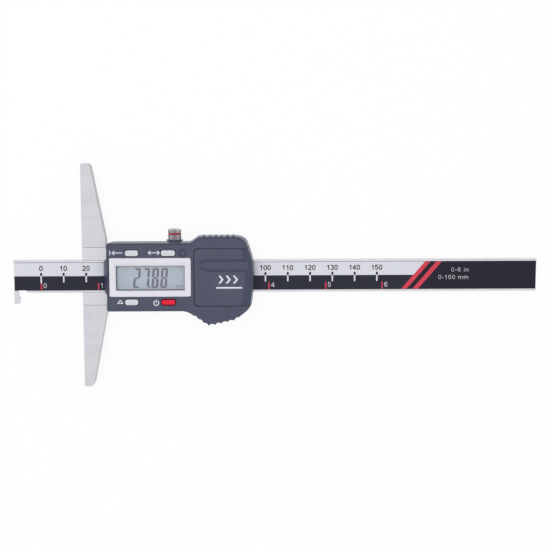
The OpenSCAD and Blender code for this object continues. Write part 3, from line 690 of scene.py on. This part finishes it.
def blend_of(tree, share, first, second):
    """The first colour where share is 0 and the second where it is 1. Sockets 6 and 7 are the Mix node's two
    colours, and its output 2 is their blend."""
    mix = put(tree, "ShaderNodeMix", {"Factor": share, 6: first, 7: second}, data_type="RGBA")
    return mix.outputs[2]


def slopes(tree, start, end):
    """0 where a surface faces up and 1 where it leans or stands: the normal's z goes from start to end."""
    normal = put(tree, "ShaderNodeNewGeometry").outputs["Normal"]
    facing = put(tree, "ShaderNodeSeparateXYZ", {0: normal}).outputs["Z"]
    return ranged(tree, facing, 0.0, 1.0, start, end)


def metal(name, dark, pale, stretch, rough, depth=0.2, radius=0.00018, sides=None, metallic=1.0):
    """Ground or turned metal: streaks change its colour and its gloss, and its edges are softened and
    polished. Sides, where given, is a darker colour painted on faces that lean or stand, painted shade on the
    side faces. A satin steel scatters part of the light, which a metallic value below 1 gives."""
    made, tree, shader = material(name)
    plain(shader, Metallic=metallic)
    edges = placed(tree, EDGES_WORN_AND_HIGHLIGHTED, Radius=radius)
    lines = placed(tree, GRINDING, Stretch=stretch, Depth=depth, Normal=edges["Normal"])
    colour = blend_of(tree, ranged(tree, lines["Streak"], 0, 1), dark, pale)
    # Painted shade: faces that lean or stand get the darker sides colour.
    if sides:
        colour = blend_of(tree, slopes(tree, 0.8, 0.3), colour, sides)
    colour = blend_of(tree, maths(tree, "MULTIPLY", edges["Wear and highlight"], 0.5), colour, linear(236, 236, 240))
    finish(tree, shader, colour, ranged(tree, lines["Streak"], rough + 0.06, rough - 0.06), lines["Normal"])
    return made


def key_plastic(name, face, rim):
    """A moulded key: its flat face, and another tone on the round edge, where the normal leans: a painted
    highlight where that tone is paler, as on the white keys, and painted shade where it is darker, as on the
    red one.
    """
    made, tree, shader = material(name)
    plain(shader, Specular_IOR_Level=0.35)
    grain = placed(tree, GRAIN, Fineness=5200.0, Depth=0.05)
    worn = tuple(0.96 * c for c in face[:3]) + (1.0,)
    colour = blend_of(tree, ranged(tree, grain["Mottle"], 0, 1), worn, face)
    # Painted light on the leaning rim: a painted highlight on the white keys, painted shade on the red key.
    colour = blend_of(tree, slopes(tree, 0.985, 0.8), colour, rim)
    finish(tree, shader, colour, ranged(tree, grain["Mottle"], 0.34, 0.28), grain["Normal"])
    return made


def plastic(name, dark, pale, rough, fineness=4200.0, depth=0.25, radius=0.00025, wear_and_highlight=0.25,
            worn=(150, 152, 162), shine=0.5):
    """Moulded plastic: grain in its normal, a slow mottle in its colour and gloss, and edges made paler, by
    rubbing on most parts and as a painted highlight on the display border.
    """
    made, tree, shader = material(name)
    plain(shader, Specular_IOR_Level=shine)
    edges = placed(tree, EDGES_WORN_AND_HIGHLIGHTED, Radius=radius)
    grain = placed(tree, GRAIN, Fineness=fineness, Depth=depth, Normal=edges["Normal"])
    colour = blend_of(tree, ranged(tree, grain["Mottle"], 0, 1), dark, pale)
    # Paler edges: rubbing on most plastics, a painted highlight where the share is high, as on the display
    # border.
    colour = blend_of(tree, maths(tree, "MULTIPLY", edges["Wear and highlight"], wear_and_highlight), colour, linear(*worn))
    finish(tree, shader, colour, ranged(tree, grain["Mottle"], rough + 0.04, rough - 0.04), grain["Normal"])
    return made


def scale_film():
    """The printed film: white above the middle line, black below it and right of the leaning stripes."""
    made, tree, shader = material("scale film")
    plain(shader, Specular_IOR_Level=0.2)
    axes = put(tree, "ShaderNodeSeparateXYZ", {0: object_place(tree, (1 / MM, 1 / MM, 1 / MM))}).outputs
    lean = maths(tree, "MULTIPLY_ADD", axes["Y"], STRIPE_LEAN, -STRIPE_LEAN * STRIPE_Y)
    across = maths(tree, "SUBTRACT", axes["X"], lean)
    below = maths(tree, "LESS_THAN", axes["Y"], FIELD_EDGE)
    beyond = maths(tree, "GREATER_THAN", across, STRIPE_FOOT)
    middles = (STRIPE_FOOT + STRIPE_W / 2, STRIPE_FOOT + STRIPE_W / 2 + STRIPE_STEP)
    stripes = [maths(tree, "COMPARE", across, middle, STRIPE_W / 2) for middle in middles]
    grain = placed(tree, GRAIN, Fineness=2600.0, Depth=0.06)
    white = blend_of(tree, grain["Mottle"], linear(210, 211, 219), linear(219, 220, 227))
    black = blend_of(tree, grain["Mottle"], linear(36, 37, 49), linear(43, 45, 58))
    black = blend_of(tree, beyond, black, linear(35, 33, 46))
    colour = blend_of(tree, maths(tree, "MAXIMUM", below, beyond), white, black)
    colour = blend_of(tree, maths(tree, "MAXIMUM", *stripes), colour, SCALE_RED)
    finish(tree, shader, colour, ranged(tree, grain["Mottle"], 0.42, 0.34), grain["Normal"])
    return made


def ink(name, colour):
    """Printing ink, a little uneven in its cover. The same flat tone makes the display's lines of painted
    shade.
    """
    made, tree, shader = material(name)
    plain(shader, Specular_IOR_Level=0.2)
    grain = placed(tree, GRAIN, Fineness=9000.0, Depth=0.05)
    dark = tuple(0.86 * c for c in colour[:3]) + (1.0,)
    mottled = blend_of(tree, grain["Mottle"], dark, colour)
    finish(tree, shader, mottled, ranged(tree, grain["Mottle"], 0.5, 0.4), grain["Normal"])
    return made


def clear_plate():
    """The display window: clear plastic that lets the light of lamps through."""
    made, tree, shader = material("clear plate")
    tint = (0.97, 0.98, 1.0, 1.0)
    plain(shader, Base_Color=tint, Roughness=0.02, IOR=1.47, Transmission_Weight=1.0)
    path = put(tree, "ShaderNodeLightPath").outputs
    open_to = maths(tree, "MAXIMUM", path["Is Shadow Ray"], path["Is Diffuse Ray"])
    clear = put(tree, "ShaderNodeBsdfTransparent", {"Color": tint}).outputs[0]
    mixed = put(tree, "ShaderNodeMixShader", {0: open_to, 1: shader.outputs[0], 2: clear})
    tree.links.new(mixed.outputs[0], tree.nodes["Material Output"].inputs["Surface"])
    return made


ALONG_X = (70, 9000, 9000)
ALONG_Y = (9000, 70, 9000)
SCALE_RED = linear(208, 64, 82)

STEEL = metal("ground steel", linear(219, 217, 223), linear(227, 225, 232), ALONG_X, rough=0.28, depth=0.1,
              metallic=0.6)
# Its sides colour is painted shade on the base's side faces.
STEEL_ACROSS = metal("cross ground steel", linear(213, 211, 217), linear(221, 219, 226), ALONG_Y, rough=0.28,
                     depth=0.1, sides=linear(158, 153, 158), metallic=0.6)
SCREW_STEEL = metal("screw steel", linear(176, 176, 182), linear(206, 206, 212), (2500, 2500, 300),
                    rough=0.26)
KNURLED = metal("knurled steel", linear(214, 205, 213), linear(246, 241, 247), (700, 2600, 700), rough=0.42,
                depth=0.35, radius=0.00008)
BRASS = metal("brass", linear(176, 136, 72), linear(214, 176, 104), (120, 5000, 5000), rough=0.3)
CELL_CAN = metal("cell can", linear(178, 178, 182), linear(208, 208, 212), (3000, 3000, 200), rough=0.24)
DARK_PLASTIC = plastic("dark moulded plastic", linear(54, 60, 84), linear(61, 67, 91), rough=0.3, shine=0.7)
WHITE_PLASTIC = plastic("white mask plastic", linear(220, 219, 228), linear(226, 225, 233), rough=0.35,
                        depth=0.06, wear_and_highlight=0.0)
# Its strong pale edge tone is a painted highlight along the border's rounded edges.
BORDER_PRINT = plastic("display border white", linear(219, 218, 226), linear(225, 224, 232), rough=0.35,
                       depth=0.04, wear_and_highlight=0.8, worn=(238, 238, 244))
# The second colour of each key is its rim's painted light: paler as a painted highlight on white, darker as
# painted shade on red.
WHITE_KEY = key_plastic("white key plastic", linear(209, 211, 219), linear(240, 241, 246))
RED_KEY = key_plastic("red key plastic", linear(228, 14, 48), linear(156, 8, 30))
RED_RING = plastic("red ring paint", linear(160, 8, 30), linear(174, 12, 34), rough=0.3, depth=0.05, wear_and_highlight=0.0,
                   shine=0.2)
RUBBER = plastic("contact rubber", linear(38, 38, 42), linear(50, 50, 54), rough=0.7, depth=0.3, wear_and_highlight=0.0)
BOARD = plastic("solder mask", linear(26, 84, 52), linear(34, 100, 62), rough=0.32, fineness=900.0,
                depth=0.15, radius=0.0001, wear_and_highlight=0.3, worn=(150, 130, 70))
STRIP = plastic("scale strip board", linear(30, 44, 38), linear(38, 54, 46), rough=0.4, fineness=900.0,
                depth=0.1, radius=0.0001, wear_and_highlight=0.2, worn=(110, 110, 80))
PANEL = plastic("display panel", linear(168, 176, 184), linear(174, 182, 190), rough=0.45, fineness=1500.0,
                depth=0.03, radius=0.0001, wear_and_highlight=0.0)
FILM = scale_film()
CLEAR = clear_plate()
INK_BLACK = ink("black ink", linear(28, 28, 36))
INK_WHITE = ink("white ink", linear(228, 228, 234))
INK_RED = ink("red ink", SCALE_RED)
LIQUID = ink("dark crystal", linear(102, 102, 116))
# Painted shade: the two lines round the display's opening, a deep one along the left and the foot, a faint
# one along the right and the top.
PAINTED_SHADE_DEEP = ink("deep painted shade of the display", linear(100, 98, 110))
PAINTED_SHADE_FAINT = ink("faint painted shade of the display", linear(134, 140, 150))

FINISHES = {
    STEEL: ["beam", "slider_frame", "end_stop"],
    STEEL_ACROSS: ["base"],
    SCREW_STEEL: ["base_screws", "gib_screw", "housing_screws", "end_stop_screws"],
    KNURLED: ["lock_screw"],
    BRASS: ["gib_strip", "cell_contact_minus", "cell_contact_plus"],
    CELL_CAN: ["cell"],
    DARK_PLASTIC: ["housing", "battery_cover", "port_plug"],
    WHITE_PLASTIC: ["display_mask", "key_switches"],
    WHITE_KEY: ["origin_button", "mode_button", "inc_button"],
    RED_KEY: ["power_button"],
    RED_RING: ["lock_screw_ring"],
    RUBBER: ["zebra_strips"],
    BOARD: ["circuit_board"],
    STRIP: ["scale_board"],
    PANEL: ["lcd_panel"],
    FILM: ["scale_label"],
    CLEAR: ["display_window"],
}


# Sub-parts of the instrument


def cad_finishes():
    """Each CAD node gets its material."""
    for surface, names in FINISHES.items():
        for name in names:
            nodes[name].data.materials.clear()
            nodes[name].data.materials.append(surface)


def moulded_skin():
    """The housing and the cover with their finer shapes, and the ribs on the upper grip."""
    moulded("housing", "moulded_housing", "slider", DARK_PLASTIC, housing_shape)
    moulded("battery_cover", "moulded_cover", "cover", DARK_PLASTIC, cover_shape)
    to_object("upper_grip_ribs", *grip_ribs(), "slider", "dark_plastic", DARK_PLASTIC, smooth=True)


def scale_print():
    """The marks and figures on the beam's film."""
    levels = (LABEL_TOP - PRINT_SUNK, LABEL_TOP + PRINT_T)
    mm_marks = SCALE_ZERO + MM_PITCH * np.arange(MM_MARKS)
    inch_marks = INCH_ZERO + INCH_PITCH * np.arange(INCH_MARKS)
    white_bars = bars(mm_marks[:1], *FIRST_WHITE_MARK) + bars(mm_marks[1:], *WHITE_MARK)
    black_figures, white_figures = [], []
    for k, x in enumerate(mm_marks):
        black_figures += figures(str(10 * k), x, **MM_FIGURES)
    for k, x in enumerate(inch_marks):
        white_figures += figures(str(k), x + INCH_FIGURE_STEP, **INCH_FIGURES)
    for row in RANGES:
        white_figures += figures(**row)
    for name, solid, surface in (
        ("scale_lines_black", prisms(bars(mm_marks, *BLACK_MARK), *levels), INK_BLACK),
        ("scale_lines_white", prisms(white_bars, *levels), INK_WHITE),
        ("scale_lines_red", prisms(bars(inch_marks, *RED_MARK), *levels), INK_RED),
        ("scale_figures_black", slab(black_figures, *levels), INK_BLACK),
        ("scale_figures_white", slab(white_figures, *levels), INK_WHITE),
    ):
        to_object(name, *solid, "rule", "label", surface)


def display():
    """The lit digits and the unit on the panel, two lines of painted shade behind the window, a deep one and
    a faint one, and its white border.
    """
    digits = []
    for digit, left in zip(READING, DIGIT_X):
        digits += seven_segments(digit, left)
    w, h = POINT_SIZE
    digits.append(leaning([[0, 0], [w, 0], [w, h], [0, h]], POINT_X))
    shown = (PANEL_TOP - PRINT_SUNK, PANEL_TOP + CRYSTAL_T)
    behind = (WINDOW_FOOT - EDGE_HALF_T, WINDOW_FOOT + EDGE_HALF_T)
    x0, x1, x2, x3 = EDGE_X
    y0, y1, y2, y3 = EDGE_Y
    left_and_foot = [(x0, y0), (x2, y0), (x2, y1), (x1, y1), (x1, y2), (x0, y3)]
    right_and_top = [(x2, y0), (x3, y0), (x3, y3), (x0, y3), (x1, y2), (x2, y2)]
    for name, solid, surface in (
        ("display_digits", prisms(digits, *shown), LIQUID),
        ("display_unit", slab(figures(**UNIT), *shown), LIQUID),
        # Lines of painted shade just under the window, darker than the panel.
        ("display_painted_shade_deep", prisms([left_and_foot], *behind), PAINTED_SHADE_DEEP),
        ("display_painted_shade_faint", prisms([right_and_top], *behind), PAINTED_SHADE_FAINT),
    ):
        to_object(name, *solid, "slider", "display_glass", surface)
    to_object("display_border", *window_border(), "slider", "white_plastic", BORDER_PRINT, smooth=True)


def key_caps():
    """The four key caps, each in place of its button."""
    for body, node in KEYS.items():
        low, high = corners(node)
        centre = (low + high)[:2] / 2
        size = (high - low)[:2] - 2 * KEY_FLANGE
        surface, slot = (RED_KEY, "red_button") if body == "power_key" else (WHITE_KEY, "white_button")
        cap = to_object(body + "_cap", *key_cap(centre, size), body, slot, surface, smooth=True)
        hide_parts(node)


def arrow(shaft, *heads):
    """Pen lines of a level arrow beside the upper keys: its shaft, and two barbs for each head."""
    lines = [[(x, ARROW_Y) for x in shaft]]
    for tip, back in heads:
        lines.append([(back, ARROW_Y + ARROW_BARB), (tip, ARROW_Y), (back, ARROW_Y - ARROW_BARB)])
    return lines


def key_marks():
    """An arrow to a stop, a double arrow, a triangle and a power sign, in white on the housing."""
    stop = [(STOP_X, ARROW_Y - STOP_HALF_H), (STOP_X, ARROW_Y + STOP_HALF_H)]
    to_stop = [stop] + arrow(ORIGIN_SHAFT, ORIGIN_HEAD)
    both_ways = arrow(MODE_SHAFT, *MODE_HEADS)
    left, middle, right = TRIANGLE_X
    foot, top = TRIANGLE_Y
    triangle = [[(left, foot), (right, foot)],
                [(left + TRIANGLE_LAP, foot - TRIANGLE_LAP), (middle, top)],
                [(right - TRIANGLE_LAP, foot - TRIANGLE_LAP), (middle, top)]]
    outlines = [stroke(line, MARK_PEN) for line in to_stop + both_ways + triangle]
    ring = [arc(*POWER_MIDDLE, POWER_R, POWER_R, a, b, 15) for a, b in ((125, 275), (265, 415))]
    bar = [(POWER_MIDDLE[0], y) for y in POWER_BAR]
    outlines += [stroke(line, POWER_PEN) for line in ring + [bar]]
    levels = (FRONT_Z - PRINT_SUNK, FRONT_Z + PRINT_T)
    to_object("key_marks", *slab(outlines, *levels), "slider", "dark_plastic", INK_WHITE)


def cover_marks():
    """Three chevrons and a bar in white on the battery cover, pointing the way that it slides."""
    outlines = [CHEVRON + [x, CHEVRON_Y] for x in CHEVRON_X] + [pill(BAR_MIDDLE, BAR_SIZE, BAR_CORNER)]
    levels = (FRONT_Z - PRINT_SUNK, FRONT_Z + PRINT_T)
    to_object("cover_marks", *slab(outlines, *levels), "cover", "dark_plastic", INK_WHITE)


# Floor, light and camera


def seen_rays(tree):
    """1 for rays from the camera, from gloss and through glass."""
    path = put(tree, "ShaderNodeLightPath").outputs
    shiny = maths(tree, "MAXIMUM", path["Is Glossy Ray"], path["Is Transmission Ray"])
    return maths(tree, "MAXIMUM", path["Is Camera Ray"], shiny)


def floor():
    """A pale floor that shows white to the camera and to glossy and clear surfaces, with the shadow on it.
    From below it is clear, so that the back can be looked at."""
    mesh = bpy.data.meshes.new("floor")
    corner = [(-1, -1), (1, -1), (1, 1), (-1, 1)]
    mesh.from_pydata([(x * FLOOR_HALF, y * FLOOR_HALF, FLOOR_Z) for x, y in corner], [], [(0, 1, 2, 3)])
    plane = bpy.data.objects.new("floor", mesh)
    bpy.context.scene.collection.objects.link(plane)
    made, tree, shader = material("pale floor")
    plain(shader, Base_Color=linear(250, 250, 250), Roughness=0.9, Specular_IOR_Level=0.0)
    white = put(tree, "ShaderNodeEmission", {"Color": (1, 1, 1, 1), "Strength": 1.0}).outputs[0]
    share = maths(tree, "MULTIPLY", seen_rays(tree), FLOOR_WHITE)
    mixed = put(tree, "ShaderNodeMixShader", {0: share, 1: shader.outputs[0], 2: white}).outputs[0]
    clear = put(tree, "ShaderNodeBsdfTransparent").outputs[0]
    below = put(tree, "ShaderNodeNewGeometry").outputs["Backfacing"]
    both = put(tree, "ShaderNodeMixShader", {0: below, 1: mixed, 2: clear}).outputs[0]
    tree.links.new(both, tree.nodes["Material Output"].inputs["Surface"])
    mesh.materials.append(made)


def sky():
    """White light all round. Gloss shows it white overhead, as a wide soft box, and dimmer at the sides."""
    world = bpy.data.worlds.new("studio")
    bpy.context.scene.world = world
    world.use_nodes = True
    tree = world.node_tree
    path = put(tree, "ShaderNodeLightPath").outputs
    way = put(tree, "ShaderNodeTexCoord").outputs["Generated"]
    near = put(tree, "ShaderNodeVectorMath", {0: way, 1: BOX_WAY}, operation="DOT_PRODUCT").outputs["Value"]
    gloss = maths(tree, "MULTIPLY", path["Is Glossy Ray"], ranged(tree, near, SIDE_GLOW, 1.0, *BOX_EDGE))
    open_view = maths(tree, "MAXIMUM", path["Is Camera Ray"], path["Is Transmission Ray"])
    light = maths(tree, "MULTIPLY", maths(tree, "SUBTRACT", 1.0, seen_rays(tree)), AIR_LIGHT)
    strength = maths(tree, "ADD", light, maths(tree, "MAXIMUM", gloss, open_view))
    back = tree.nodes["Background"]
    back.inputs["Color"].default_value = (1, 1, 1, 1)
    tree.links.new(strength, back.inputs["Strength"])


def lamp(name, place, size, watts):
    """A square soft lamp that faces the middle of the instrument."""
    data = bpy.data.lights.new(name, "AREA")
    data.size = size
    data.energy = watts
    made = bpy.data.objects.new(name, data)
    made.location = place
    made.rotation_mode = "QUATERNION"
    made.rotation_quaternion = (Vector(LAMP_AIM) - Vector(place)).to_track_quat("-Z", "Y")
    made.visible_glossy = False
    bpy.context.scene.collection.objects.link(made)


def camera():
    """The photograph's camera. The fit turns a place about its middle and adds the offset, so the camera
    stands at the turned-back offset and looks along the third row of the turn."""
    turn = Matrix.Rotation(ROLL, 3, "Z") @ Matrix.Rotation(TILT, 3, "X") @ Matrix.Rotation(SWING, 3, "Y")
    back = turn.transposed()
    place = back @ -Vector(FIT_OFFSET) + Vector(FIT_MIDDLE)
    data = bpy.data.cameras.new("photo_camera")
    data.sensor_width = SENSOR_MM
    data.lens = SENSOR_MM * FOCAL_PIXELS / PHOTO_PIXELS
    data.clip_start, data.clip_end = 0.01, 20
    made = bpy.data.objects.new("photo_camera", data)
    made.matrix_world = Matrix.Translation(place * MM) @ back.to_4x4()
    bpy.context.scene.collection.objects.link(made)
    bpy.context.scene.camera = made


cad_finishes()
moulded_skin()
scale_print()
display()
key_caps()
key_marks()
cover_marks()
floor()
sky()
lamp("soft_lamp_left", place=(-0.35, 0.35, 1.1), size=0.8, watts=4.7)
lamp("soft_lamp_right", place=(0.5, -0.1, 1.2), size=0.9, watts=2.7)
camera()
bpy.context.scene.view_settings.view_transform = "Standard"
